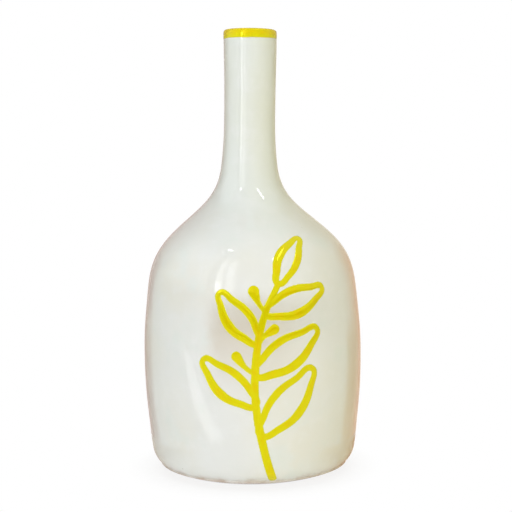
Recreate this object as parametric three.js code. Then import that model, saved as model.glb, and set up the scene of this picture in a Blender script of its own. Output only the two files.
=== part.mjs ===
// A tall-necked ceramic bottle vase, in millimetres, +Z up.
// The potter throws it in three sections, a body, a shoulder and a neck, and lutes them together with slip
// on tongued joints. A ring of bare clay is let into the underside as a foot, and a band of coloured glaze
// is laid over the lip. The origin is the centre of the face that the foot rests on.
import * as THREE from "three";

// Facets round the wheel axis, and steps along one stretch of the wall.
const wheelSteps = 52;
const longSteps = 4;
const curveSteps = 8;
const roundSteps = 6;

// Foot ring, let into a seat in the underside.
const footStand = 1.4;
const footSeatDepth = 1;
const footWidth = 6;
const footInset = 2.4;
const footChamfer = 0.5;
const seatClearance = 0.3;

// Floor of the pot. The underside is turned hollow inside the foot.
const floorThickness = 6.5;
const undersideHollow = 1.2;

// Stations up the outside of the wall. Climb is the height above the station below, lean the slope away from
// upright in degrees, outward positive, and wall the thickness square to the surface.
const heelRound = 16.3;
const heel = { radius: 70.1, lean: 6.1, wall: 5.2 };
const belly = { radius: 74.65, climb: 64.2, lean: 0, wall: 4.8 };
const shoulder = { radius: 71.6, climb: 44, lean: -5.6, wall: 4.6 };
const ogee = { radius: 47.1, climb: 44.5, lean: -49.4, wall: 4.8 };
const throat = { radius: 19.05, climb: 40.7, lean: -6, wall: 4.4 };
const waist = { radius: 17.35, climb: 39.2, lean: 0, wall: 3.9 };
const lip = { radius: 18.1, climb: 43.2, lean: 1.5, wall: 3.6 };

// Length of each curve handle, as a share of the straight distance between two stations.
const handleShare = 0.42;

// The lip runs straight above its station, and then rounds over.
const lipRise = 6;

// Tongued joints: the tongue is the middle third of the wall, and narrows towards its top.
const tongueHeight = 1.8;
const tongueShare = 1 / 3;
const tongueTaper = 0.8;
const slipGap = 0.3;

// Band of coloured glaze over the lip: down the outside, and down the inside.
const bandSkirt = 3.9;
const bandLining = 1.2;
const bandThickness = 0.35;
const bandGap = 0.03;

const whiteGlaze = new THREE.MeshStandardMaterial({ color: 0xe7e6dc, roughness: 0.1, metalness: 0 });
const yellowGlaze = new THREE.MeshStandardMaterial({ color: 0xe8d60f, roughness: 0.12, metalness: 0 });
const bareClay = new THREE.MeshStandardMaterial({ color: 0xcfae8c, roughness: 0.9, metalness: 0 });

const at = (radius, height) => new THREE.Vector2(radius, height);
const radians = THREE.MathUtils.degToRad;

// Unit vectors in the half plane of the section: up along a leaning wall, and square out of it.
const upWall = (lean) => at(Math.sin(radians(lean)), Math.cos(radians(lean)));
const outOfWall = (lean) => at(Math.cos(radians(lean)), -Math.sin(radians(lean)));

// Heights of the stations, each standing on the one below.
heel.height = footStand + heelRound * (1 - Math.sin(radians(heel.lean)));
const stations = [heel, belly, shoulder, ogee, throat, waist, lip];
for (let i = 1; i < stations.length; i += 1) {
  stations[i].height = stations[i - 1].height + stations[i].climb;
}
const floorTop = footStand + floorThickness;

// The point on the inside of the wall level with a station.
function inside(station) {
  const level = station.wall / Math.cos(radians(station.lean));
  return { ...station, radius: station.radius - level };
}

// One smooth stretch of wall from a lower station to an upper one, without its last point.
function stretch(lower, upper, steps) {
  const start = at(lower.radius, lower.height);
  const end = at(upper.radius, upper.height);
  const handle = start.distanceTo(end) * handleShare;
  const leave = start.clone().addScaledVector(upWall(lower.lean), handle);
  const arrive = end.clone().addScaledVector(upWall(upper.lean), -handle);
  return new THREE.CubicBezierCurve(start, leave, arrive, end).getPoints(steps).slice(0, -1);
}

// The outside of a run of stations from bottom to top, last point included.
function outsideRun(run, steps) {
  const points = run.slice(1).flatMap((upper, i) => stretch(run[i], upper, steps[i]));
  const top = run[run.length - 1];
  return [...points, at(top.radius, top.height)];
}

// The inside of the same run, from top to bottom.
function insideRun(run, steps) {
  return outsideRun(run.map(inside), steps).reverse();
}

// A round heel of the wall between a level face and the station above it, from the level face upwards.
function heelArc(station, level) {
  const out = outOfWall(station.lean);
  const radius = (station.height - level) / (1 - Math.sin(radians(station.lean)));
  const centre = at(station.radius, station.height).addScaledVector(out, -radius);
  const sweep = Math.PI / 2 - radians(station.lean);
  return Array.from({ length: roundSteps }, (_, i) => {
    const angle = -Math.PI / 2 + (sweep * i) / roundSteps;
    return at(centre.x + radius * Math.cos(angle), centre.y + radius * Math.sin(angle));
  });
}

// Joint faces, each from the outside of the wall to the inside. The upper section's groove has room for slip.
function jointFace(station, reach, spread) {
  const middle = (station.radius + inside(station).radius) / 2;
  const half = ((station.radius - inside(station).radius) * tongueShare) / 2 + spread;
  const top = station.height + reach;
  return [
    at(middle + half, station.height),
    at(middle + half * tongueTaper, top),
    at(middle - half * tongueTaper, top),
    at(middle - half, station.height),
  ];
}
const tongue = (station) => jointFace(station, tongueHeight, 0);
const groove = (station) => jointFace(station, tongueHeight + slipGap, slipGap);

// The round of the lip, grown by an offset, from the outside over the top to the inside.
const crownRadius = lip.wall / 2;
const lipEdge = at(lip.radius, lip.height).addScaledVector(upWall(lip.lean), lipRise);
const crownCentre = lipEdge.clone().addScaledVector(outOfWall(lip.lean), -crownRadius);
function crown(offset) {
  return Array.from({ length: roundSteps + 1 }, (_, i) => {
    const angle = (Math.PI * i) / roundSteps;
    return crownCentre
      .clone()
      .addScaledVector(outOfWall(lip.lean), (crownRadius + offset) * Math.cos(angle))
      .addScaledVector(upWall(lip.lean), (crownRadius + offset) * Math.sin(angle));
  });
}

// The band's face at an offset from the clay: up its skirt, over the crown and down its lining.
function bandFace(offset) {
  const over = crown(offset);
  const hem = over[0].clone().addScaledVector(upWall(lip.lean), -bandSkirt);
  const innerHem = over[roundSteps].clone().addScaledVector(upWall(lip.lean), -bandLining);
  return [hem, ...over, innerHem];
}

// Turns a section round the wheel axis. A section that doesn't end on the axis closes on itself.
function turned(section) {
  const last = section[section.length - 1];
  const points = last.x > 0 ? [...section, section[0].clone()] : section;
  return new THREE.LatheGeometry(points, wheelSteps).rotateX(Math.PI / 2);
}

function piece(name, section, material) {
  const mesh = new THREE.Mesh(turned(section), material);
  mesh.name = name;
  return mesh;
}

// Foot ring and the seat for it.
const heelStart = heelArc(heel, footStand);
const footOuter = heelStart[0].x - footInset;
const footInner = footOuter - footWidth;
const footTop = footStand + footSeatDepth;
function footRingSection() {
  return [
    at(footInner, footChamfer),
    at(footInner + footChamfer, 0),
    at(footOuter - footChamfer, 0),
    at(footOuter, footChamfer),
    at(footOuter, footTop),
    at(footInner, footTop),
  ];
}

// The underside, from the axis out to the heel: a shallow turned hollow, then the seat of the foot.
function undersideSection() {
  const hollowEdge = footInner - seatClearance;
  const hollow = Array.from({ length: longSteps + 1 }, (_, i) => {
    const share = i / longSteps;
    return at(hollowEdge * share, footStand + undersideHollow * (1 - share * share));
  });
  return [
    ...hollow,
    at(hollowEdge, footTop),
    at(footOuter + seatClearance, footTop),
    at(footOuter + seatClearance, footStand),
  ];
}

function bodySection() {
  const run = [heel, belly, shoulder];
  const steps = [longSteps, longSteps];
  return [
    ...undersideSection(),
    ...heelStart,
    ...outsideRun(run, steps),
    ...tongue(shoulder),
    ...insideRun(run, steps),
    ...heelArc(inside(heel), floorTop).reverse(),
    at(0, floorTop),
  ];
}

function shoulderSection() {
  const run = [shoulder, ogee, throat];
  const steps = [curveSteps, curveSteps];
  return [
    ...groove(shoulder).reverse(),
    ...outsideRun(run, steps),
    ...tongue(throat),
    ...insideRun(run, steps),
  ];
}

function neckSection() {
  const run = [throat, waist, lip];
  const steps = [longSteps, longSteps];
  return [
    ...groove(throat).reverse(),
    ...outsideRun(run, steps),
    ...crown(0),
    ...insideRun(run, steps),
  ];
}

function bandSection() {
  return [...bandFace(bandGap).reverse(), ...bandFace(bandGap + bandThickness)];
}

const vase = new THREE.Group();
vase.name = "bottle_vase";
vase.add(
  piece("foot_ring", footRingSection(), bareClay),
  piece("body", bodySection(), whiteGlaze),
  piece("shoulder", shoulderSection(), whiteGlaze),
  piece("neck", neckSection(), whiteGlaze),
  piece("rim_band", bandSection(), yellowGlaze),
);

export default vase;
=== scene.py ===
# Looks of a hand-thrown bottle vase: white gloss glaze, a yellow band over the lip,
# a sprig brushed in yellow on the front, and a bare clay foot.
import math

import bpy
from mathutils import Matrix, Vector


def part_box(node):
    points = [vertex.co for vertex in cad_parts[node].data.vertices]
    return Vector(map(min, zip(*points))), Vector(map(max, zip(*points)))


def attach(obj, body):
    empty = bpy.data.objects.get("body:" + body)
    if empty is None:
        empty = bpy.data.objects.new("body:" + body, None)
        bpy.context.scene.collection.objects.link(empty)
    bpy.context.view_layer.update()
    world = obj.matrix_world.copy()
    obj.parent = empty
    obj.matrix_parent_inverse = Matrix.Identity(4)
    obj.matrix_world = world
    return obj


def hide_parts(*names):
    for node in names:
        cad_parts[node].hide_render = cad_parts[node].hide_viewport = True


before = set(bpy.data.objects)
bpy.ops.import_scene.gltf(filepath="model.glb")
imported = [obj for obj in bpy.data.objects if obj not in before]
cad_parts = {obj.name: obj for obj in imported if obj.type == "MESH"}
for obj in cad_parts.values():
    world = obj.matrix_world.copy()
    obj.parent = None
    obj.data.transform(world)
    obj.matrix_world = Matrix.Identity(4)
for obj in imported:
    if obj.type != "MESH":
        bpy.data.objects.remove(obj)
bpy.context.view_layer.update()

scene = bpy.context.scene
mm = 0.001
tiny = 0.00002  # CAD corners closer than this share a place
cornerDigits = 5  # CAD corners are rounded to a hundredth of a millimetre
cornerGap = 5 * tiny  # outline corners closer than this count as one
weldGap = tiny / 4  # mesh points closer than this are joined
potNodes = ("body", "shoulder", "neck")


def linear(level):  # a level on screen, 0 to 1, as an amount of light
    return level / 12.92 if level <= 0.04045 else ((level + 0.055) / 1.055) ** 2.4


def colour(red, green, blue):  # a colour as it reads on screen, 0 to 255
    return (linear(red / 255), linear(green / 255), linear(blue / 255), 1.0)


# Node building, for geometry and shader trees alike

def addNode(tree, kind, feeds=None, **settings):
    node = tree.nodes.new(kind)
    for key, value in settings.items():
        setattr(node, key, value)
    for key, value in (feeds or {}).items():
        feed(tree, node.inputs[key], value)
    return node


def feed(tree, socket, value):
    if isinstance(value, bpy.types.NodeSocket):
        tree.links.new(value, socket)
    else:
        socket.default_value = value


def calc(tree, operation, first, second=0.0):
    return addNode(tree, "ShaderNodeMath", {0: first, 1: second}, operation=operation).outputs[0]


def add(tree, first, *others):
    for other in others:
        first = calc(tree, "ADD", first, other)
    return first


def multiply(tree, first, *others):
    for other in others:
        first = calc(tree, "MULTIPLY", first, other)
    return first


def subtract(tree, first, second):
    return calc(tree, "SUBTRACT", first, second)


def divide(tree, first, second):
    return calc(tree, "DIVIDE", first, second)


def countMath(tree, operation, first, second=0):
    return addNode(tree, "FunctionNodeIntegerMath", {0: first, 1: second}, operation=operation).outputs[0]


def partsOf(tree, vector):
    return addNode(tree, "ShaderNodeSeparateXYZ", {0: vector}).outputs


def vectorOf(tree, x=0.0, y=0.0, z=0.0):
    return addNode(tree, "ShaderNodeCombineXYZ", {"X": x, "Y": y, "Z": z}).outputs[0]


def vectorCalc(tree, operation, first, second):
    return addNode(tree, "ShaderNodeVectorMath", {0: first, 1: second}, operation=operation).outputs[0]


def scaled(tree, vector, amount):
    return addNode(tree, "ShaderNodeVectorMath", {0: vector, "Scale": amount}, operation="SCALE").outputs[0]


def blendValue(tree, share, first, second):
    return addNode(tree, "ShaderNodeMix", {0: share, 2: first, 3: second}, data_type="FLOAT").outputs[0]


def blendColour(tree, share, first, second):  # a mix node's colours are its inputs 6 and 7
    return addNode(tree, "ShaderNodeMix", {0: share, 6: first, 7: second}, data_type="RGBA").outputs[2]


def remap(tree, value, low, high, toLow=0.0, toHigh=1.0):
    feeds = {"Value": value, "From Min": low, "From Max": high, "To Min": toLow, "To Max": toHigh}
    return addNode(tree, "ShaderNodeMapRange", feeds, interpolation_type="SMOOTHSTEP").outputs[0]


def noiseAt(tree, place, size, detail=2.0, roughness=0.5):  # noise whose patches are about size across
    feeds = {"Vector": place, "Scale": 1 / size, "Detail": detail, "Roughness": roughness}
    return addNode(tree, "ShaderNodeTexNoise", feeds).outputs[0]


def geometryTree(name, inputs, outputName="Geometry", outputType="NodeSocketGeometry"):
    tree = bpy.data.node_groups.new(name, "GeometryNodeTree")
    tree.interface.new_socket(outputName, in_out="OUTPUT", socket_type=outputType)
    for label, socketType in inputs:
        tree.interface.new_socket(label, in_out="INPUT", socket_type=socketType)
    return tree, tree.nodes.new("NodeGroupInput").outputs, tree.nodes.new("NodeGroupOutput").inputs


def storeLoad(tree, mesh, load):  # how much glaze lies there, 0 at the edge of the coat and 1 full; above 1 it deepens to gold
    feeds = {"Geometry": mesh, "Name": "load", "Value": load}
    stored = addNode(tree, "GeometryNodeStoreNamedAttribute", feeds, data_type="FLOAT", domain="POINT")
    return stored.outputs[0]


def finishTree(tree, output, mesh, material):
    smooth = addNode(tree, "GeometryNodeSetShadeSmooth", {"Geometry": mesh}).outputs[0]
    realized = addNode(tree, "GeometryNodeRealizeInstances", {"Geometry": smooth}).outputs[0]
    dressed = addNode(tree, "GeometryNodeSetMaterial", {"Geometry": realized, "Material": material})
    tree.links.new(dressed.outputs[0], output[0])


# Runs a tree on an empty object, and keeps the result as a plain mesh

def makeWithTree(name, tree, values):
    maker = bpy.data.objects.new(name + "Maker", bpy.data.meshes.new(name + "Maker"))
    scene.collection.objects.link(maker)
    modifier = maker.modifiers.new("tree", "NODES")
    modifier.node_group = tree
    for item in tree.interface.items_tree:
        if item.in_out == "INPUT":
            modifier[item.identifier] = values[item.name]
    depsgraph = bpy.context.evaluated_depsgraph_get()
    mesh = bpy.data.meshes.new_from_object(maker.evaluated_get(depsgraph), depsgraph=depsgraph)
    bpy.data.objects.remove(maker)
    piece = bpy.data.objects.new(name, mesh)
    mesh.name = name
    scene.collection.objects.link(piece)
    print(f"made {name}: {len(mesh.vertices)} points, {len(mesh.polygons)} faces")
    return piece


def makeCurve(name, corners, closed=False, steps=4, widths=None):
    data = bpy.data.curves.new(name, "CURVE")
    data.dimensions = "3D"
    data.resolution_u = steps
    spline = data.splines.new("BEZIER")
    spline.bezier_points.add(len(corners) - 1)
    for point, corner, width in zip(spline.bezier_points, corners, widths or [1.0] * len(corners)):
        point.co = corner
        point.radius = width
        point.handle_left_type = point.handle_right_type = "AUTO"
    spline.use_cyclic_u = closed
    curve = bpy.data.objects.new(name, data)
    scene.collection.objects.link(curve)
    return curve


def treeValues(look):  # a piece's values that its tree takes, which are the ones with a capital
    return {name: value for name, value in look.items() if name[0].isupper()}


# The wheel outline, read from the section of the CAD wall

def sectionEdges(nodeName):  # edges on the half plane x = 0, y < 0, each as two (radius, height) corners
    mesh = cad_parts[nodeName].data
    corners = {}
    for vertex in mesh.vertices:
        if abs(vertex.co.x) < tiny and vertex.co.y < tiny:
            corners[vertex.index] = (round(-vertex.co.y, cornerDigits), round(vertex.co.z, cornerDigits))
    pairs = (tuple(edge.vertices) for edge in mesh.edges)
    onPlane = ((corners[a], corners[b]) for a, b in pairs if a in corners and b in corners)
    return {tuple(sorted(edge)) for edge in onPlane if edge[0] != edge[1]}


def radiiAt(edges, height):
    radii = []
    for (radiusA, heightA), (radiusB, heightB) in edges:
        if min(heightA, heightB) - tiny <= height <= max(heightA, heightB) + tiny:
            level = abs(heightB - heightA) < tiny
            share = 0.0 if level else (height - heightA) / (heightB - heightA)
            radii += [radiusA, radiusB] if level else [radiusA + share * (radiusB - radiusA)]
    return radii


def readWall():  # corners of the pot's wall: under, up the outside, then down the inside to the floor
    edges = set().union(*(sectionEdges(name) for name in potNodes))
    corners = {corner for edge in edges for corner in edge}
    floorLevel = max(height for radius, height in corners if radius < tiny)
    outside = {c for c in corners if c[0] > max(radiiAt(edges, c[1])) - tiny}
    onFloor = {c for c in corners if abs(c[1] - floorLevel) < tiny}
    inside = onFloor | {c for c in corners if c[0] < min(radiiAt(edges, c[1])) + tiny}
    under = sorted(c for c in inside if c[1] < floorLevel - tiny)
    lining = sorted((c for c in inside - outside if c not in under), key=lambda c: (-c[1], -c[0]))
    return under, sorted(outside, key=lambda c: c[1]), lining


def asPoints(corners):  # leaves out a corner that lies on the one before it
    pairs = zip(corners[1:], corners)
    kept = corners[:1] + [corner for corner, before in pairs if math.dist(corner, before) > cornerGap]
    return [(radius, 0, height) for radius, height in kept]


def lengthTo(corners, height):  # how far along the outside the wall reaches a height
    length = 0.0
    for first, second in zip(corners, corners[1:]):
        step = math.dist(first, second)
        if second[1] >= height:
            return length + step * (height - first[1]) / (second[1] - first[1])
        length += step
    return length


under, outside, lining = readWall()
potOutline = makeCurve("potOutline", asPoints(under + outside + lining), steps=3)
wallOutline = makeCurve("wallOutline", asPoints(outside + lining), steps=6)
print(f"read the wall outline: {len(outside)} corners outside, {len(lining)} inside")


# One place on the wheel: so far along an outline, turned so far, and lifted square off it.
# The thrower's marks and the lean of the neck come with it.

throwing = {
    "Ridge": 0.012 * mm,  # spiral ridge that the thrower's fingers leave
    "Ridge Pitch": 9 * mm,
    "Wobble": 0.4 * mm,  # how far the wall strays from true
    "Wobble Size": 110 * mm,
    "Sway": 1.0 * mm,  # how far the neck's foot stands to the left
    "Sway Left": -0.65,  # the share of it that is left at the lip
    "Sway From": 150 * mm,
    "Sway Peak": 188 * mm,
    "Sway By": 300 * mm,
    "Lip Slope": 0.018,  # how steeply the lip drops to the right
    "Lip Draw": 0.024,  # how much the lip is drawn in
    "Draw From": 284 * mm,
    "Draw By": 305 * mm,
}
throwingInputs = [(name, "NodeSocketFloat") for name in throwing]


def wheelGroup():
    inputs = [("Outline", "NodeSocketGeometry")]
    inputs += [(name, "NodeSocketFloat") for name in ("Along", "Turn", "Around", "Lift")]
    inputs += throwingInputs
    tree, given, result = geometryTree("placeOnWheel", inputs, "Position", "NodeSocketVector")
    feeds = {"Curves": given["Outline"], "Length": given["Along"]}
    sample = addNode(tree, "GeometryNodeSampleCurve", feeds, mode="LENGTH").outputs
    sectionPlace = partsOf(tree, sample["Position"])
    tangent = partsOf(tree, sample["Tangent"])
    awayFromWall = vectorOf(tree, tangent["Z"], 0.0, multiply(tree, tangent["X"], -1.0))
    turn = add(tree, given["Turn"], divide(tree, given["Around"], sectionPlace["X"]))

    def turned(vector):
        feeds = {"Vector": vector, "Angle": turn}
        return addNode(tree, "ShaderNodeVectorRotate", feeds, rotation_type="Z_AXIS").outputs[0]

    truePlace = turned(sample["Position"])
    feeds = {"Vector": truePlace, "Scale": divide(tree, 1.0, given["Wobble Size"]), "Detail": 1.0}
    unevenness = addNode(tree, "ShaderNodeTexNoise", feeds).outputs[0]
    wobble = multiply(tree, subtract(tree, unevenness, 0.5), given["Wobble"])
    climb = multiply(tree, divide(tree, sectionPlace["Z"], given["Ridge Pitch"]), math.tau)
    ridge = multiply(tree, calc(tree, "SINE", add(tree, climb, turn)), given["Ridge"], unevenness)
    lift = add(tree, given["Lift"], add(tree, wobble, ridge))
    place = vectorCalc(tree, "ADD", truePlace, scaled(tree, turned(awayFromWall), lift))
    tree.links.new(offCentre(tree, place, given), result[0])
    return tree


# The neck stands a little to the left and leans to the right, and its lip is drawn in and not quite level

def offCentre(tree, place, given):
    parts = partsOf(tree, place)
    leaves = remap(tree, parts["Z"], given["Sway From"], given["Sway Peak"])
    returns = remap(tree, parts["Z"], given["Sway Peak"], given["Sway By"], 1.0, given["Sway Left"])
    sway = multiply(tree, leaves, returns, given["Sway"])
    nearLip = remap(tree, parts["Z"], given["Sway Peak"], given["Sway By"])
    drop = multiply(tree, parts["X"], given["Lip Slope"], nearLip)
    drawn = remap(tree, parts["Z"], given["Draw From"], given["Draw By"])
    kept = subtract(tree, 1.0, multiply(tree, drawn, given["Lip Draw"]))
    x = subtract(tree, multiply(tree, parts["X"], kept), sway)
    return vectorOf(tree, x, multiply(tree, parts["Y"], kept), subtract(tree, parts["Z"], drop))


wheelPlace = wheelGroup()


def placeOnWheel(tree, given, outline, **feeds):
    feeds.update({name: given[name] for name in throwing})
    feeds["Outline"] = outline
    return addNode(tree, "GeometryNodeGroup", feeds, node_tree=wheelPlace).outputs[0]


def outlineFrom(tree, objectSocket):
    drawn = addNode(tree, "GeometryNodeObjectInfo", {"Object": objectSocket}).outputs["Geometry"]
    return addNode(tree, "GeometryNodeResampleCurve", {"Curve": drawn}, mode="EVALUATED").outputs[0]


def wheelGrid(tree, rows, steps):  # a sheet of rows by steps, and each point's row and turn, from the back
    columns = countMath(tree, "ADD", steps, 1)
    sheet = addNode(tree, "GeometryNodeMeshGrid", {"Vertices X": rows, "Vertices Y": columns}).outputs[0]
    index = addNode(tree, "GeometryNodeInputIndex").outputs[0]
    row = countMath(tree, "DIVIDE_FLOOR", index, columns)
    column = countMath(tree, "FLOORED_MODULO", index, columns)
    turn = subtract(tree, math.pi / 2, multiply(tree, divide(tree, column, steps), math.tau))
    return sheet, row, turn


def closeUp(tree, sheet, position):  # moves a sheet to its place, and joins its seam and its poles
    moved = addNode(tree, "GeometryNodeSetPosition", {"Geometry": sheet, "Position": position}).outputs[0]
    return addNode(tree, "GeometryNodeMergeByDistance", {"Geometry": moved, "Distance": weldGap}).outputs[0]


# A piece turned on the wheel from its outline

def turnedTree():
    inputs = [("Outline", "NodeSocketObject"), ("Closed", "NodeSocketInt"), ("Steps", "NodeSocketInt")]
    inputs += throwingInputs + [("Material", "NodeSocketMaterial")]
    tree, given, result = geometryTree("turnedPiece", inputs)
    outline = outlineFrom(tree, given["Outline"])
    cornerCount = addNode(tree, "GeometryNodeAttributeDomainSize", {0: outline}, component="CURVE").outputs[0]
    sheet, row, turn = wheelGrid(tree, countMath(tree, "ADD", cornerCount, given["Closed"]), given["Steps"])
    along = addNode(tree, "GeometryNodeSampleIndex", {
        "Geometry": outline, "Index": countMath(tree, "FLOORED_MODULO", row, cornerCount),
        "Value": addNode(tree, "GeometryNodeSplineParameter").outputs["Length"]}).outputs[0]
    place = placeOnWheel(tree, given, outline, Along=along, Turn=turn)
    finishTree(tree, result, closeUp(tree, sheet, place), given["Material"])
    return tree


# Glazes and clay. A span is the two values, of a noise, a distance or a load, between which a look comes in
# or fades out.

def newMaterial(name, **settings):
    material = bpy.data.materials.new(name)
    material.use_nodes = True
    tree = material.node_tree
    shader = tree.nodes["Principled BSDF"]
    for key, value in settings.items():
        shader.inputs[key.replace("_", " ")].default_value = value
    place = addNode(tree, "ShaderNodeTexCoord").outputs["Object"]
    return material, tree, shader, place


def addRelief(tree, shader, height, depth):
    feeds = {"Height": height, "Distance": depth, "Strength": 1.0}
    tree.links.new(addNode(tree, "ShaderNodeBump", feeds).outputs[0], shader.inputs["Normal"])


whiteGlaze = {
    "roughness": 0.045,
    "ior": 1.72,
    "main": colour(232, 233, 226),
    "cream": colour(232, 231, 218),
    "creamSpan": (0.4, 0.68),
    "patchSize": 70 * mm,
    "neck": colour(228, 232, 223),  # painted light: the neck is tinted cooler, as it gets less of the warm light that falls on the body
    "neckPaintedCoolCream": colour(227, 230, 217),
    "neckSpan": (150 * mm, 195 * mm),
    "thick": colour(237, 238, 233),
    "thickSpan": (0.45, 0.75),
    "thickMost": 0.4,
    "mottleSize": 12 * mm,
    "cool": colour(227, 232, 223),
    "coolSpan": (0.5, 0.72),
    "coolMost": 0.7,
    "coolSize": 26 * mm,
    "thin": colour(219, 212, 196),  # painted reflection: the darker, warmer band that the glaze mirrors on the front
    "paintedReflection": (-32 * mm, 43 * mm),  # where the painted reflection lies on the front, from left to right
    "paintedReflectionLeftEdge": (-3 * mm, 12 * mm),  # it sets in here, from its left end
    "paintedReflectionRightEdge": 38 * mm,  # and fades over this much at its right end
    "paintedReflectionFrom": 50 * mm,  # the height where it begins
    "paintedReflectionFull": 106 * mm,  # where it is fullest
    "paintedReflectionHold": 4 * mm,  # how far up it stays so
    "paintedReflectionBy": 134 * mm,  # and where it ends
    "frontSpan": (-30 * mm, -50 * mm),
    "ragged": 12 * mm,  # how far the edges of the painted reflection and of the browner heel waver
    "heelBrown": colour(186, 157, 131),  # browner towards the bottom, up to the height below
    "heelBy": 9 * mm,
    "speck": colour(150, 132, 108),
    "specksPerMetre": 150,
    "speckSpan": (0.03, 0.1),
    "speckless": 0.95,  # the share of the cells that have no speck
    "speckStrength": 0.5,
    "orangePeel": 7 * mm,
    "ripple": 2.4 * mm,  # finer unevenness, that softens what the glaze mirrors
    "rippleShare": 0.8,
    "peelDepth": 0.014 * mm,
}


def paintedReflectionAndHeel(tree, look, place, mottle):  # the painted reflection on the front, and the browner heel, each from 0 to 1
    parts = partsOf(tree, place)
    waver = multiply(tree, subtract(tree, mottle, 0.5), look["ragged"])
    height = add(tree, parts["Z"], waver)
    left, right = look["paintedReflection"]
    start, full = look["paintedReflectionLeftEdge"]
    rise = remap(tree, height, look["paintedReflectionFrom"], look["paintedReflectionFull"])
    fall = remap(tree, height, look["paintedReflectionFull"] + look["paintedReflectionHold"], look["paintedReflectionBy"], 1.0, 0.0)
    enter = remap(tree, add(tree, parts["X"], waver), left + start, left + full)
    leave = remap(tree, parts["X"], right - look["paintedReflectionRightEdge"], right, 1.0, 0.0)
    paintedReflection = multiply(tree, multiply(tree, rise, fall), multiply(tree, enter, leave))
    front = remap(tree, parts["Y"], *look["frontSpan"])
    return multiply(tree, paintedReflection, front), remap(tree, height, 0.0, look["heelBy"], 1.0, 0.0)


def makeWhiteGlaze(look):
    material, tree, shader, place = newMaterial("whiteGlaze", Roughness=look["roughness"], IOR=look["ior"])
    mottle = noiseAt(tree, place, look["mottleSize"], detail=4.0, roughness=0.6)
    cream = remap(tree, noiseAt(tree, place, look["patchSize"]), *look["creamSpan"])
    body = blendColour(tree, cream, look["main"], look["cream"])
    # Painted light: the neck is tinted cooler than the body, which gets warm light.
    neck = blendColour(tree, cream, look["neck"], look["neckPaintedCoolCream"])
    shade = blendColour(tree, remap(tree, partsOf(tree, place)["Z"], *look["neckSpan"]), body, neck)
    thick = remap(tree, mottle, *look["thickSpan"], 0.0, look["thickMost"])
    shade = blendColour(tree, thick, shade, look["thick"])
    coolNoise = noiseAt(tree, place, look["coolSize"], detail=3.0, roughness=0.55)
    cool = remap(tree, coolNoise, *look["coolSpan"], 0.0, look["coolMost"])
    shade = blendColour(tree, cool, shade, look["cool"])
    paintedReflection, heel = paintedReflectionAndHeel(tree, look, place, mottle)
    # Painted reflection: the darker, warmer band on the front.
    shade = blendColour(tree, paintedReflection, shade, look["thin"])
    # Browner towards the bottom.
    shade = blendColour(tree, heel, shade, look["heelBrown"])
    cells = addNode(tree, "ShaderNodeTexVoronoi", {"Vector": place, "Scale": look["specksPerMetre"]}).outputs
    pick = addNode(tree, "ShaderNodeSeparateColor", {0: cells["Color"]}).outputs[0]
    chosen = calc(tree, "GREATER_THAN", pick, look["speckless"])
    speck = multiply(tree, remap(tree, cells["Distance"], *look["speckSpan"], 1.0, 0.0), chosen)
    shade = blendColour(tree, multiply(tree, speck, look["speckStrength"]), shade, look["speck"])
    tree.links.new(shade, shader.inputs["Base Color"])
    ripple = multiply(tree, noiseAt(tree, place, look["ripple"]), look["rippleShare"])
    peel = noiseAt(tree, place, look["orangePeel"], detail=1.0)
    addRelief(tree, shader, add(tree, peel, ripple), look["peelDepth"])
    return material


yellowGlaze = {
    "roughness": 0.05,
    "ior": 2.1,
    "glint": (1.0, 0.95, 0.05, 1.0),  # tint of what it mirrors
    "main": colour(221, 210, 7),
    "deep": colour(224, 199, 2),
    "deepSpan": (0.42, 0.7),
    "poolSize": 9 * mm,
    "edge": colour(217, 211, 20),
    "edgeSpan": (0.45, 0.95),
    "thin": colour(232, 227, 120),
    "thinSpan": (0.1, 0.5),
    "thinMost": 0.9,
    "gold": colour(231, 201, 1),  # deeper gold toward the top of the lip band, and where the sprig's strokes are thickest
    "streakSize": 5 * mm,
    "streakStretch": (1, 1, 4),
    "streakSpan": (0.35, 0.65),
    "streakLeast": 0.3,
    "peelDepth": 0.03 * mm,
}


def makeYellowGlaze(look):  # reads the load that storeLoad leaves on the piece
    material, tree, shader, place = newMaterial(
        "yellowGlaze", Roughness=look["roughness"], IOR=look["ior"], Specular_Tint=look["glint"])
    load = addNode(tree, "ShaderNodeAttribute", attribute_name="load").outputs["Fac"]
    pools = noiseAt(tree, place, look["poolSize"], detail=3.0, roughness=0.6)
    shade = blendColour(tree, remap(tree, pools, *look["deepSpan"]), look["main"], look["deep"])
    shade = blendColour(tree, remap(tree, load, *look["edgeSpan"], 1.0, 0.0), shade, look["edge"])
    thin = remap(tree, load, *look["thinSpan"], look["thinMost"], 0.0)
    shade = blendColour(tree, thin, shade, look["thin"])
    stretched = vectorCalc(tree, "MULTIPLY", place, look["streakStretch"])
    streakNoise = noiseAt(tree, stretched, look["streakSize"])
    streaks = remap(tree, streakNoise, *look["streakSpan"], look["streakLeast"], 1.0)
    shade = blendColour(tree, multiply(tree, remap(tree, load, 1.0, 2.0), streaks), shade, look["gold"])
    tree.links.new(shade, shader.inputs["Base Color"])
    addRelief(tree, shader, noiseAt(tree, place, look["poolSize"] / 2), look["peelDepth"])
    return material


bareClay = {
    "roughness": 0.88,
    "clay": colour(206, 176, 142),
    "dark": colour(172, 138, 106),
    "darkSpan": (0.35, 0.7),
    "blotchSize": 12 * mm,
    "grit": colour(122, 94, 70),
    "gritPerMetre": 900,
    "gritSpan": (0.08, 0.22),
    "gritMost": 0.7,
    "grainSize": 0.8 * mm,
    "grainDepth": 0.12 * mm,
}


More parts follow.
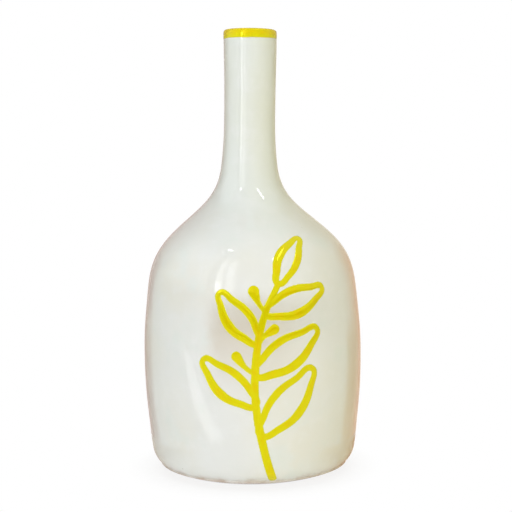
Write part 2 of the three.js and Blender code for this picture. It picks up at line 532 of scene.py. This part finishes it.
def makeBareClay(look):
    material, tree, shader, place = newMaterial("bareClay", Roughness=look["roughness"])
    blotches = noiseAt(tree, place, look["blotchSize"], detail=4.0, roughness=0.6)
    shade = blendColour(tree, remap(tree, blotches, *look["darkSpan"]), look["clay"], look["dark"])
    cells = addNode(tree, "ShaderNodeTexVoronoi", {"Vector": place, "Scale": look["gritPerMetre"]}).outputs
    grit = remap(tree, cells["Distance"], *look["gritSpan"], look["gritMost"], 0.0)
    shade = blendColour(tree, grit, shade, look["grit"])
    tree.links.new(shade, shader.inputs["Base Color"])
    grain = noiseAt(tree, place, look["grainSize"], detail=3.0, roughness=0.7)
    addRelief(tree, shader, grain, look["grainDepth"])
    return material


glazeMaterial = makeWhiteGlaze(whiteGlaze)
yellowMaterial = makeYellowGlaze(yellowGlaze)
clayMaterial = makeBareClay(bareClay)
print("mixed the glazes and the clay")


# The glazed pot, one wall from the underside over the lip to the floor inside

pot = {"Steps": 240}
turned = turnedTree()
glazedPot = makeWithTree("glazed_pot", turned, {
    "Outline": potOutline, "Closed": 0, "Material": glazeMaterial, **pot, **throwing})
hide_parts(*potNodes)
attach(glazedPot, "root")


# The foot ring, with its turned edges rounded over

foot = {
    "width": 6 * mm,
    "edge": 0.8 * mm,
    "Steps": 200,
    "Ridge": 0.05 * mm,
    "Ridge Pitch": 2.5 * mm,
    "Wobble": 0.25 * mm,
    "Wobble Size": 12 * mm,
}


def footOutline(look):
    low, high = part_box("foot_ring")
    outer, inner = high.x, high.x - look["width"]
    bottom, top = low.z + look["Wobble"], high.z
    corners = [(outer, bottom), (outer, top), (inner, top), (inner, bottom)]
    ways = [(0, 1), (-1, 0), (0, -1), (1, 0)]  # the way each side leaves its corner
    points = []
    for i, (radius, height) in enumerate(corners):
        comeIn, leave = ways[i - 1], ways[i]
        points.append((radius - comeIn[0] * look["edge"], 0, height - comeIn[1] * look["edge"]))
        slope = look["edge"] * (1 - math.sqrt(0.5))
        points.append((radius - (comeIn[0] - leave[0]) * slope, 0, height - (comeIn[1] - leave[1]) * slope))
        points.append((radius + leave[0] * look["edge"], 0, height + leave[1] * look["edge"]))
    return makeCurve("footOutline", points, closed=True)


footCurve = footOutline(foot)
footRing = makeWithTree("foot", turned, {
    "Outline": footCurve, "Closed": 1, "Material": clayMaterial, **throwing, **treeValues(foot)})
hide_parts("foot_ring")
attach(footRing, "root")


# The yellow band over the lip, with a brushed hem

band = {
    "Steps": 240,
    "Rows": 60,
    "Thickness": 0.14 * mm,
    "Bedding": 0.12 * mm,  # how far its hidden face lies in the white glaze
    "Hem Waver": 1.1 * mm,
    "Hem Waver Size": 12 * mm,
    "lipRadius": 18 * mm,  # of the circle that the waver's size is measured on
    "lower": 0.3 * mm,  # how far the hem hangs below the CAD band
    "overTop": 2 * mm,  # from the top of the lip to where its inside begins
    "lining": 2.2 * mm,  # how far it goes down inside
    "edgeRound": 0.42,  # the lower, the fuller its edges
    "pooledBy": 0.3,  # the share of the band above its hem over which it deepens to gold toward the top
}


def bandTree():
    names = ("Hem", "Inner Hem", "Thickness", "Bedding", "Hem Waver", "Hem Waver Size")
    inputs = [("Outline", "NodeSocketObject"), ("Steps", "NodeSocketInt"), ("Rows", "NodeSocketInt")]
    inputs += [(name, "NodeSocketFloat") for name in names]
    inputs += throwingInputs + [("Material", "NodeSocketMaterial")]
    tree, given, result = geometryTree("lipBand", inputs)
    outline = outlineFrom(tree, given["Outline"])
    sheet, row, turn = wheelGrid(tree, given["Rows"], given["Steps"])
    rowShare = divide(tree, row, countMath(tree, "SUBTRACT", given["Rows"], 1))
    outward = calc(tree, "LESS_THAN", rowShare, 0.5)  # first half: the face that shows. Then back under it.
    across = calc(tree, "PINGPONG", multiply(tree, rowShare, 2.0), 1.0)
    circle = vectorOf(tree, calc(tree, "COSINE", turn), calc(tree, "SINE", turn))
    waverScale = divide(tree, band["lipRadius"], given["Hem Waver Size"])
    hemNoise = addNode(tree, "ShaderNodeTexNoise", {"Vector": circle, "Scale": waverScale, "Detail": 1.0})
    waver = multiply(tree, subtract(tree, hemNoise.outputs[0], 0.5), given["Hem Waver"])
    along = blendValue(tree, across, add(tree, given["Hem"], waver), given["Inner Hem"])
    swell = calc(tree, "POWER", calc(tree, "SINE", multiply(tree, across, math.pi)), band["edgeRound"])
    depth = blendValue(tree, outward, multiply(tree, given["Bedding"], -1.0), given["Thickness"])
    place = placeOnWheel(tree, given, outline, Along=along, Turn=turn, Lift=multiply(tree, swell, depth))
    towardTop = add(tree, remap(tree, across, 0.0, band["pooledBy"]), 1.0)
    loaded = storeLoad(tree, sheet, multiply(tree, swell, outward, towardTop))
    finishTree(tree, result, closeUp(tree, loaded, place), given["Material"])
    return tree


hemLength = lengthTo(outside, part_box("rim_band")[0].z) - band["lower"]
topLength = lengthTo(outside, outside[-1][1])
lipBand = makeWithTree("lip_band", bandTree(), {
    "Outline": wallOutline, "Hem": hemLength, "Inner Hem": topLength + band["overTop"] + band["lining"],
    "Material": yellowMaterial, **treeValues(band), **throwing})
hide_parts("rim_band")
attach(lipBand, "root")


# The brushed sprig: a stem with leaves to either side, drawn flat and then laid on the wall.
# Stem points are around and up in mm, the others shares of a leaf's or bud's length. Last comes the width.

sprig = {
    "Leaves": 6,
    "First Leaf": 0.24,  # where along the stem
    "Leaf Size": 52 * mm,
    "Tip Size": 38 * mm,
    "Leaf Width": 1.0,
    "Lean": math.radians(50),
    "First Bud": 2,  # the knot that has the first bud, across from its leaf
    "Bud Size": 15 * mm,
    "Brush": 2.6 * mm,  # half the width of the line
    "Pressure": 0.22,  # how much the width varies
    "Shake": 1.1 * mm,
    "Paint Height": 0.28 * mm,
    "Voxel": 0.5 * mm,
    "Seed": 4,
    "chance": (0.88, 1.12),  # range of a factor on each leaf's and bud's size and lean
    "budLean": -0.9,  # as a share of its leaf's
    "shakesPerMetre": 30.0,
    "pressSize": 30 * mm,
    "stem": [(12, 15, 1.1), (7, 34, 1.0), (2, 62, 1.0), (2, 94, 1.0), (8, 124, 0.9), (17, 143, 0.8)],
    "leaf": [(0.0, 0.0, 0.8), (0.2, 0.13, 1.0), (0.5, 0.2, 1.2), (0.82, 0.12, 0.95), (1.0, 0.0, 0.75),
             (0.78, -0.1, 0.9), (0.5, -0.17, 1.05), (0.2, -0.12, 0.9)],
    "bud": [(0.0, 0.0, 0.6), (0.5, 0.06, 0.7), (1.0, 0.0, 1.35)],
}


def growSprig(tree, given):  # leaves and buds on the knots of the stem, as flat curves
    stem = outlineFrom(tree, given["Stem"])
    leafy = addNode(tree, "GeometryNodeTrimCurve", {"Curve": stem, 2: given["First Leaf"], 3: 1.0}).outputs[0]
    feeds = {"Curve": leafy, "Count": given["Leaves"]}
    knots = addNode(tree, "GeometryNodeCurveToPoints", feeds, mode="COUNT")
    index = addNode(tree, "GeometryNodeInputIndex").outputs[0]
    last = countMath(tree, "SUBTRACT", given["Leaves"], 1)
    notLast = calc(tree, "LESS_THAN", index, last)
    side = subtract(tree, multiply(tree, countMath(tree, "FLOORED_MODULO", index, 2), 2.0), 1.0)
    low, high = sprig["chance"]
    feeds = {2: low, 3: high, "Seed": given["Seed"]}
    chance = addNode(tree, "FunctionNodeRandomValue", feeds, data_type="FLOAT").outputs[1]
    way = partsOf(tree, knots.outputs["Tangent"])
    stemAngle = calc(tree, "ARCTAN2", way["Y"], way["X"])
    lean = multiply(tree, multiply(tree, side, given["Lean"]), multiply(tree, notLast, chance))
    share = divide(tree, index, last)
    size = multiply(tree, blendValue(tree, share, given["Leaf Size"], given["Tip Size"]), chance)
    width = multiply(tree, size, given["Leaf Width"], side)

    def growOnKnots(drawn, lean, length, width, chosen):
        shape = addNode(tree, "GeometryNodeObjectInfo", {"Object": drawn}).outputs["Geometry"]
        angle = vectorOf(tree, z=add(tree, stemAngle, lean))
        grown = addNode(tree, "GeometryNodeInstanceOnPoints", {
            "Points": knots.outputs["Points"], "Selection": chosen, "Instance": shape,
            "Rotation": addNode(tree, "FunctionNodeEulerToRotation", {0: angle}).outputs[0],
            "Scale": vectorOf(tree, length, width, length)}).outputs[0]
        return addNode(tree, "GeometryNodeRealizeInstances", {"Geometry": grown}).outputs[0]

    leaves = growOnKnots(given["Leaf"], lean, size, width, True)
    fromFirst = calc(tree, "GREATER_THAN", index, subtract(tree, given["First Bud"], 0.5))
    hasBud = multiply(tree, notLast, fromFirst)
    budLength = multiply(tree, given["Bud Size"], chance)
    budLean = multiply(tree, lean, sprig["budLean"])
    buds = growOnKnots(given["Bud"], budLean, budLength, budLength, hasBud)
    join = addNode(tree, "GeometryNodeJoinGeometry")
    for strokes in (leaves, buds, stem):
        tree.links.new(strokes, join.inputs[0])
    return join.outputs[0]


def brushStrokes(tree, given, strokes):  # follows the curves with a shaky brush, and leaves round wet paint
    feeds = {"Curve": strokes, "Length": given["Voxel"]}
    drawn = addNode(tree, "GeometryNodeResampleCurve", feeds, mode="LENGTH").outputs[0]
    place = addNode(tree, "GeometryNodeInputPosition").outputs[0]
    feeds = {"Vector": place, "Scale": sprig["shakesPerMetre"], "Detail": 1.0}
    shake = addNode(tree, "ShaderNodeTexNoise", feeds).outputs["Color"]
    level = vectorCalc(tree, "MULTIPLY", vectorCalc(tree, "SUBTRACT", shake, (0.5, 0.5, 0.5)), (1, 1, 0))
    moved = scaled(tree, level, given["Shake"])
    shaken = addNode(tree, "GeometryNodeSetPosition", {"Geometry": drawn, "Offset": moved}).outputs[0]
    press = subtract(tree, noiseAt(tree, place, sprig["pressSize"], detail=1.0), 0.5)
    press = add(tree, multiply(tree, press, multiply(tree, given["Pressure"], 2.0)), 1.0)
    drawnWidth = addNode(tree, "GeometryNodeInputRadius").outputs[0]
    brushed = multiply(tree, press, drawnWidth, given["Brush"])
    pressed = addNode(tree, "GeometryNodeSetCurveRadius", {"Curve": shaken, "Radius": brushed}).outputs[0]
    dabs = addNode(tree, "GeometryNodeCurveToPoints", {"Curve": pressed}, mode="EVALUATED").outputs[0]
    radius = addNode(tree, "GeometryNodeInputRadius").outputs[0]
    feeds = {"Points": dabs, "Radius": radius, "Voxel Size": given["Voxel"]}
    wet = addNode(tree, "GeometryNodePointsToVolume", feeds, resolution_mode="VOXEL_SIZE").outputs[0]
    return addNode(tree, "GeometryNodeVolumeToMesh", {"Volume": wet}).outputs[0]


def sprigTree():
    objects = ("Outline", "Stem", "Leaf", "Bud")
    counts = ("Leaves", "First Bud", "Seed")
    sizes = ("First Leaf", "Leaf Size", "Tip Size", "Leaf Width", "Lean", "Bud Size", "Brush", "Pressure",
             "Shake", "Paint Height", "Voxel")
    inputs = [(name, "NodeSocketObject") for name in objects]
    inputs += [(name, "NodeSocketInt") for name in counts]
    inputs += [(name, "NodeSocketFloat") for name in sizes]
    inputs += throwingInputs + [("Material", "NodeSocketMaterial")]
    tree, given, result = geometryTree("brushedSprig", inputs)
    paint = brushStrokes(tree, given, growSprig(tree, given))
    place = addNode(tree, "GeometryNodeInputPosition").outputs[0]
    sheetPlace = partsOf(tree, place)
    lift = multiply(tree, sheetPlace["Z"], divide(tree, given["Paint Height"], given["Brush"]))
    onPot = placeOnWheel(tree, given, outlineFrom(tree, given["Outline"]), Along=sheetPlace["Y"],
                         Around=sheetPlace["X"], Turn=-math.pi / 2, Lift=lift)
    loaded = storeLoad(tree, paint, divide(tree, sheetPlace["Z"], given["Brush"]))
    laid = addNode(tree, "GeometryNodeSetPosition", {"Geometry": loaded, "Position": onPot}).outputs[0]
    finishTree(tree, result, laid, given["Material"])
    return tree


def drawnCurve(name, points, unit, closed=False):
    corners = [(x * unit, y * unit, 0) for x, y, width in points]
    return makeCurve(name, corners, closed=closed, steps=12, widths=[width for x, y, width in points])


stemCurve = drawnCurve("stem", sprig["stem"], mm)
leafCurve = drawnCurve("leaf", sprig["leaf"], 1.0, closed=True)
budCurve = drawnCurve("bud", sprig["bud"], 1.0)
brushedSprig = makeWithTree("brushed_sprig", sprigTree(), {
    "Outline": wallOutline, "Stem": stemCurve, "Leaf": leafCurve, "Bud": budCurve, "Material": yellowMaterial,
    **treeValues(sprig), **throwing})
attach(brushedSprig, "root")

for helper in (potOutline, wallOutline, footCurve, stemCurve, leafCurve, budCurve):
    bpy.data.objects.remove(helper)
print("dressed the vase")


# Studio: a white table, and soft light that is strongest from the front left.
# A turn is in degrees from the front, to the right.

studio = {
    "tableHalf": 6,
    "tableColour": colour(246, 245, 243),
    "whiteNear": 0.86,  # how much of the table's white is plain background, close to the vase
    "whiteFrom": 0.06,  # from here outwards that share grows
    "whiteBy": 0.092,  # past here the table is all background
    "skyStrength": 0.08,
    "skyColour": (1.0, 0.84, 0.7, 1.0),
    "lamps": {  # turn, distance, height, watts and tint
        "window": (-13, 1.5, 0.25, 20.8, (0.84, 0.85, 0.96)),
        "ceiling": (0, 0.0, 1.5, 12.0, (0.88, 0.94, 1.0)),
        "leftWall": (-90, 1.5, 0.5, 1.7, (0.8, 1.0, 0.3)),
        "rightWall": (64, 1.5, 0.4, 5.1, (1.0, 0.88, 0.12)),
        "back": (180, 1.5, 0.4, 13.0, (1.0, 0.97, 0.94)),
    },
    "lampSize": (1.2, 1.0),
    "lampAim": (0, 0, 0.12),
}


def onArc(distance, turn):
    return (distance * math.sin(math.radians(turn)), -distance * math.cos(math.radians(turn)))


def seenDirectly(tree):  # 1 for rays from the camera, mirror rays and rays through glass
    rays = addNode(tree, "ShaderNodeLightPath").outputs
    seen = calc(tree, "MAXIMUM", rays["Is Camera Ray"], rays["Is Glossy Ray"])
    return calc(tree, "MAXIMUM", seen, rays["Is Transmission Ray"])


def makeWorld(look):
    world = bpy.data.worlds.new("studioWorld")
    world.use_nodes = True
    tree = world.node_tree
    background = tree.nodes["Background"]
    seen = seenDirectly(tree)
    tree.links.new(blendColour(tree, seen, look["skyColour"], (1, 1, 1, 1)), background.inputs["Color"])
    tree.links.new(blendValue(tree, seen, look["skyStrength"], 1.0), background.inputs["Strength"])
    scene.world = world


def stageMaterial(name):
    material = bpy.data.materials.new(name)
    material.use_nodes = True
    tree = material.node_tree
    tree.nodes.clear()
    return material, tree


def makeSheet(name, corners, material):  # the lower row of corners, then the upper
    mesh = bpy.data.meshes.new(name)
    half = len(corners) // 2
    mesh.from_pydata(corners, [], [(i, i + 1, half + i + 1, half + i) for i in range(half - 1)])
    mesh.materials.append(material)
    sheet = bpy.data.objects.new(name, mesh)
    scene.collection.objects.link(sheet)
    return sheet


def makeTable(look):
    material, tree = stageMaterial("tableTop")
    place = addNode(tree, "ShaderNodeTexCoord").outputs["Object"]
    away = addNode(tree, "ShaderNodeVectorMath", {0: place}, operation="LENGTH").outputs["Value"]
    plain = remap(tree, away, look["whiteFrom"], look["whiteBy"], look["whiteNear"], 1.0)
    paper = addNode(tree, "ShaderNodeBsdfDiffuse", {"Color": look["tableColour"]}).outputs[0]
    white = addNode(tree, "ShaderNodeEmission", {"Color": (1, 1, 1, 1), "Strength": 1.0}).outputs[0]
    share = multiply(tree, seenDirectly(tree), plain)
    mixed = addNode(tree, "ShaderNodeMixShader", {0: share, 1: paper, 2: white}).outputs[0]
    addNode(tree, "ShaderNodeOutputMaterial", {"Surface": mixed})
    half = look["tableHalf"]
    makeSheet("table", [(-half, -half, 0), (half, -half, 0), (-half, half, 0), (half, half, 0)], material)


def makeLamp(name, turn, distance, height, power, tint, size, aim):
    data = bpy.data.lights.new(name, "AREA")
    data.shape = "RECTANGLE"
    data.size, data.size_y = size
    data.energy = power
    data.color = tint
    lamp = bpy.data.objects.new(name, data)
    lamp.location = (*onArc(distance, turn), height)
    lamp.rotation_euler = (Vector(aim) - lamp.location).to_track_quat("-Z", "Y").to_euler()
    lamp.visible_glossy = False
    scene.collection.objects.link(lamp)


makeWorld(studio)
makeTable(studio)
for name, setting in studio["lamps"].items():
    makeLamp(name, *setting, studio["lampSize"], studio["lampAim"])


# The room, as cards that only mirror rays see. Some stand on an arc round the vase, others lie on the table.
# Left, right, below and above are the shares of a card over which its edges fade. Patches are how many
# uneven patches it has along it and across it.

room = {
    "reach": 0.6,  # how far off the front cards stand
    "stagger": 10 * mm,  # how far the high pane stands behind the low one
    "near": 0.12,  # how far off the ones behind stand, that darken the vase's outline
    "layer": 2 * mm,  # between one of those and the next
    "sill": 0.214,  # lower edge of the windows
    "sideTop": 1.5,  # upper edge of the dark sides
    "bottom": 1 * mm,  # lower edge of what reaches down to the table
    "cardLift": 0.5 * mm,  # how far a card on the table lies above it
    "underFrom": 0.05,  # where the cards close round the foot begin
    "white": (1, 1, 1, 1),
    "patchSpan": (0.38, 0.6),
    "patchLeast": 0.3,
    "wall": [(-46, 0.106, 0.196), (-14, 0.1155, 0.205), (14, 0.115, 0.202), (40, 0.111, 0.19),
             (65, 0.09, 0.172), (90, 0.06, 0.157), (106, 0.055, 0.152)],
    "streakNear": [(-0.078, -0.104), (-0.126, -0.118), (-0.186, -0.124), (-0.263, -0.142), (-0.414, -0.166),
                   (-0.81, -0.25)],
    "streakFar": [(-0.05, -0.128), (-0.092, -0.15), (-0.148, -0.17), (-0.222, -0.207), (-0.372, -0.252),
                  (-0.83, -0.38)],
}


def makeCard(name, lower, upper, tone=room["white"], strength=1.0,
             left=0.0, right=0.0, below=0.0, above=0.0, patches=None):
    material, tree = stageMaterial(name)
    across = addNode(tree, "ShaderNodeAttribute", attribute_name="across").outputs["Fac"]
    up = addNode(tree, "ShaderNodeAttribute", attribute_name="up").outputs["Fac"]
    cover = 1.0
    for share, soft in ((across, left), (subtract(tree, 1.0, across), right),
                        (up, below), (subtract(tree, 1.0, up), above)):
        if soft:
            cover = multiply(tree, cover, remap(tree, share, 0.0, soft))
    if patches:
        spread = vectorOf(tree, multiply(tree, across, patches[0]), multiply(tree, up, patches[1]))
        uneven = noiseAt(tree, spread, 1.0, detail=3.0)
        cover = multiply(tree, cover, remap(tree, uneven, *room["patchSpan"], room["patchLeast"], 1.0))
    glow = addNode(tree, "ShaderNodeEmission", {"Color": tone, "Strength": strength}).outputs[0]
    clear = addNode(tree, "ShaderNodeBsdfTransparent").outputs[0]
    mixed = addNode(tree, "ShaderNodeMixShader", {0: cover, 1: clear, 2: glow}).outputs[0]
    addNode(tree, "ShaderNodeOutputMaterial", {"Surface": mixed})
    card = makeSheet(name, lower + upper, material)
    steps = len(lower) - 1
    for label, values in (("across", [i / steps for i in range(steps + 1)] * 2),
                          ("up", [0.0] * len(lower) + [1.0] * len(upper))):
        card.data.attributes.new(label, "FLOAT", "POINT").data.foreach_set("value", values)
    card.visible_camera = card.visible_diffuse = card.visible_shadow = card.visible_transmission = False


def makeScreen(name, stations, distance=room["reach"], steps=6, **look):
    points = [Vector(stations[0])]
    for first, second in zip(stations, stations[1:]):
        points += [Vector(first).lerp(Vector(second), (i + 1) / steps) for i in range(steps)]
    lower = [(*onArc(distance, turn), low) for turn, low, high in points]
    upper = [(*onArc(distance, turn), high) for turn, low, high in points]
    makeCard(name, lower, upper, **look)


def makeFloorCard(name, inner, outer, **look):
    lift = room["cardLift"]
    makeCard(name, [(x, y, lift) for x, y in inner], [(x, y, lift) for x, y in outer], **look)


def evenStations(turnFrom, turnTo, low, high):
    return [(turnFrom, low, high), (turnTo, low, high)]


def pointsOnArc(distance, turnFrom, turnTo, steps=12):
    return [onArc(distance, turnFrom + (turnTo - turnFrom) * i / steps) for i in range(steps + 1)]


reach, near, layer = room["reach"], room["near"], room["layer"]
sill, sideTop, bottom = room["sill"], room["sideTop"], room["bottom"]

# A station is a turn, with the heights of the card's two edges there. Where they are even, a card has two
# turns, and then the two heights.

standing = {
    "roomWall": dict(stations=room["wall"], tone=colour(60, 44, 34), left=0.1, right=0.5, above=0.5),
    "tableFar": dict(stations=[(turn, bottom, low) for turn, low, high in room["wall"]],
                     tone=colour(216, 209, 198), left=0.1, right=0.5, below=1.0),
    "windowSide": dict(stations=evenStations(-120, -47, sill, 1.2), strength=1.5,
                       left=0.3, right=0.05, above=0.5),
    "paneLow": dict(stations=evenStations(-40.6, -28, sill, 0.35), strength=4.0,
                    left=0.25, right=0.75, above=0.35),
    "paneHigh": dict(stations=evenStations(-40.6, -28, 0.3, 1.1), strength=2.5,
                     distance=reach + room["stagger"], left=0.25, right=0.75, below=0.06, above=0.5),
    "paneRight": dict(stations=evenStations(-29, -15, sill, 0.95), strength=2.2,
                      left=0.08, right=0.5, above=0.3),
    "paneAbove": dict(stations=evenStations(-57, -55, 1.12, 1.22), strength=9.0),
    "tubeAbove": dict(stations=[(32, 1.5, 1.72), (73, 2.5, 2.8)], strength=9.0, distance=2 * reach),
    "paneLip": dict(stations=evenStations(-38, -27, 0.2985, 0.32), strength=8.0,
                    distance=near, left=0.3, right=0.3, above=0.4),
    "roomLeft": dict(stations=evenStations(-180, -85, bottom, sideTop), tone=(0.64, 0.46, 0.42, 1),
                     distance=near, left=0.23, right=0.42),
    "roomRight": dict(stations=evenStations(95, 180, bottom, sideTop), tone=(0.8, 0.7, 0.56, 1),
                      distance=near, left=0.3),
    "roomCorner": dict(stations=evenStations(155, 180, bottom, sideTop), tone=(0.35, 0.35, 0.33, 1),
                       distance=near - layer, left=0.6),
    "shadeLeft": dict(stations=evenStations(-122, -98, 0.085, 0.18), tone=(0.52, 0.27, 0.26, 1),
                      distance=near - layer, left=0.3, right=0.35, below=0.35, above=0.3),
    "shadeRight": dict(stations=evenStations(80, 140, bottom, 0.2), tone=(0.9, 0.49, 0.35, 1),
                       distance=near - layer, left=0.5, right=0.4, above=0.25),
    "lowLeft": dict(stations=evenStations(-124, -92, bottom, 0.108), tone=(0.52, 0.33, 0.3, 1),
                    distance=near - 2 * layer, left=0.2, right=0.3, above=0.35),
    "lowRight": dict(stations=evenStations(79, 109, bottom, 0.112), tone=(0.72, 0.34, 0.15, 1),
                     distance=near - 2 * layer, left=0.3, right=0.4, above=0.3),
}
for name, card in standing.items():
    makeScreen(name, **card)

lying = {
    "streakOnTable": dict(inner=room["streakNear"], outer=room["streakFar"], strength=2.3,
                          left=0.08, right=0.14, below=0.22, above=0.12, patches=(26, 4)),
    "underRight": dict(inner=pointsOnArc(room["underFrom"], 34, 176), outer=pointsOnArc(near, 34, 176),
                       tone=(0.62, 0.34, 0.2, 1), left=0.3, above=0.1),
    "underLeft": dict(inner=pointsOnArc(room["underFrom"], -46, -176), outer=pointsOnArc(near, -46, -176),
                      tone=(0.62, 0.5, 0.42, 1), left=0.3, above=0.1),
}
for name, card in lying.items():
    makeFloorCard(name, **card)


# Camera, at the height and distance that the photograph's perspective gives, in metres

view = {
    "distance": 0.844,
    "height": 0.2262,
    "pitchDown": math.radians(5.43),
    "turnRight": math.radians(0.265),
    "roll": math.radians(0.62),
    "lens": 86.55,  # this and the sensor in mm
    "sensor": 36,
}
cameraData = bpy.data.cameras.new("camera")
cameraData.lens = view["lens"]
cameraData.sensor_width = view["sensor"]
camera = bpy.data.objects.new("camera", cameraData)
camera.location = (0, -view["distance"], view["height"])
camera.rotation_euler = (math.pi / 2 - view["pitchDown"], view["roll"], -view["turnRight"])
scene.collection.objects.link(camera)
scene.camera = camera
scene.view_settings.view_transform = "Standard"
print("lit the studio and set the camera")
